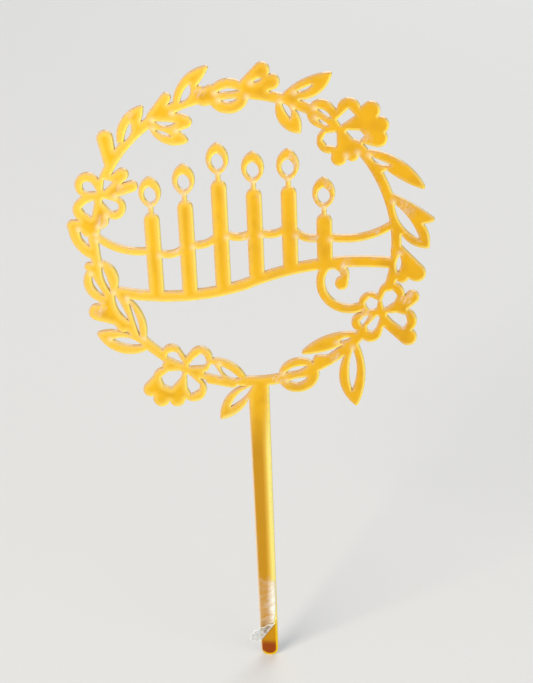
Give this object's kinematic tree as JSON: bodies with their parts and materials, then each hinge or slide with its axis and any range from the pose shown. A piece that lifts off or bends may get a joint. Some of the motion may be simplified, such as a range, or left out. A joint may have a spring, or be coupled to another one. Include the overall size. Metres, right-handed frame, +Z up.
{
  "type": "cake topper",
  "caption": "Flat gold mirror cake topper: a floral wreath ring around cut-out party candles, on a long tapered pick that pushes into a cake. Its clear shop film is still on and peels off.",
  "frame": {"origin": "the point of the pick, at mid thickness of the acrylic sheet", "axes": "+Z up along the pick to the wreath, -Y the front with the film, +X to the right seen from the front"},
  "size_m": [0.1086, 0.0041, 0.2003],
  "materials": {
    "gold_acrylic": "amber-tinted mirror acrylic with laser-melted edges",
    "grey_lacquer": "matt grey backing lacquer over the reflective coat",
    "clear_film": "thin clear protective film, hazy where it has lifted"
  },
  "bodies": {
    "topper": {"acrylic_plate": "gold_acrylic"},
    "film": {"front_film": "clear_film"},
    "loose_end": {"film_end": "clear_film"}
  },
  "joints": [
    {"name": "film_peel", "type": "slide", "parent": "topper", "child": "film", "axis": [0, -1, 0], "range_m": [0, 0.02]},
    {"name": "loose_end_fold", "type": "hinge", "parent": "film", "child": "loose_end", "pos_m": [0, -0.00108, 0.01015], "axis": [0.5687, 0, 0.8226], "range_deg": [-8, 140]}
  ]
}
